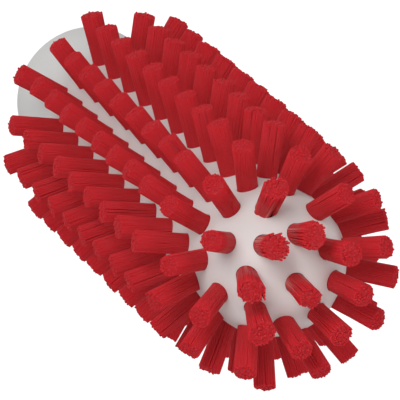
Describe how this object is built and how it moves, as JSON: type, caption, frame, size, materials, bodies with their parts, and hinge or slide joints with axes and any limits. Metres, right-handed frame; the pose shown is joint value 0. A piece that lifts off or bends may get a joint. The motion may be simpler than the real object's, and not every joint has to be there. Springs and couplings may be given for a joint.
{
  "type": "pipe brush",
  "caption": "Round cleaning brush for pipes: a round-nosed core with a handle socket in its rear, covered by staggered rows of stiff tufts that also fan out over the nose.",
  "frame": {"origin": "centre of the flat rear face, on which the brush stands", "axes": "+Z along the brush's axis, from the rear face to the nose; +X through the first row of tufts"},
  "size_m": [0.051, 0.051, 0.1451],
  "materials": {
    "core_white": "moulded, satin",
    "bristle_red": "extruded filament, soft gloss"
  },
  "bodies": {
    "root": {"core_body": "core_white", "bristle_row_01": "bristle_red", "bristle_row_02": "bristle_red", "bristle_row_03": "bristle_red", "bristle_row_04": "bristle_red", "bristle_row_05": "bristle_red", "bristle_row_06": "bristle_red", "bristle_row_07": "bristle_red", "bristle_row_08": "bristle_red", "bristle_row_09": "bristle_red", "bristle_row_10": "bristle_red", "bristle_row_11": "bristle_red", "bristle_row_12": "bristle_red", "bristle_row_13": "bristle_red", "bristle_row_14": "bristle_red", "bristle_row_15": "bristle_red", "bristle_row_16": "bristle_red", "nose_tuft_1": "bristle_red", "nose_tuft_2": "bristle_red", "nose_tuft_3": "bristle_red", "nose_tuft_4": "bristle_red", "nose_tuft_5": "bristle_red", "nose_tuft_6": "bristle_red", "nose_tuft_7": "bristle_red", "nose_tuft_8": "bristle_red", "tip_tuft": "bristle_red"}
  },
  "joints": []
}
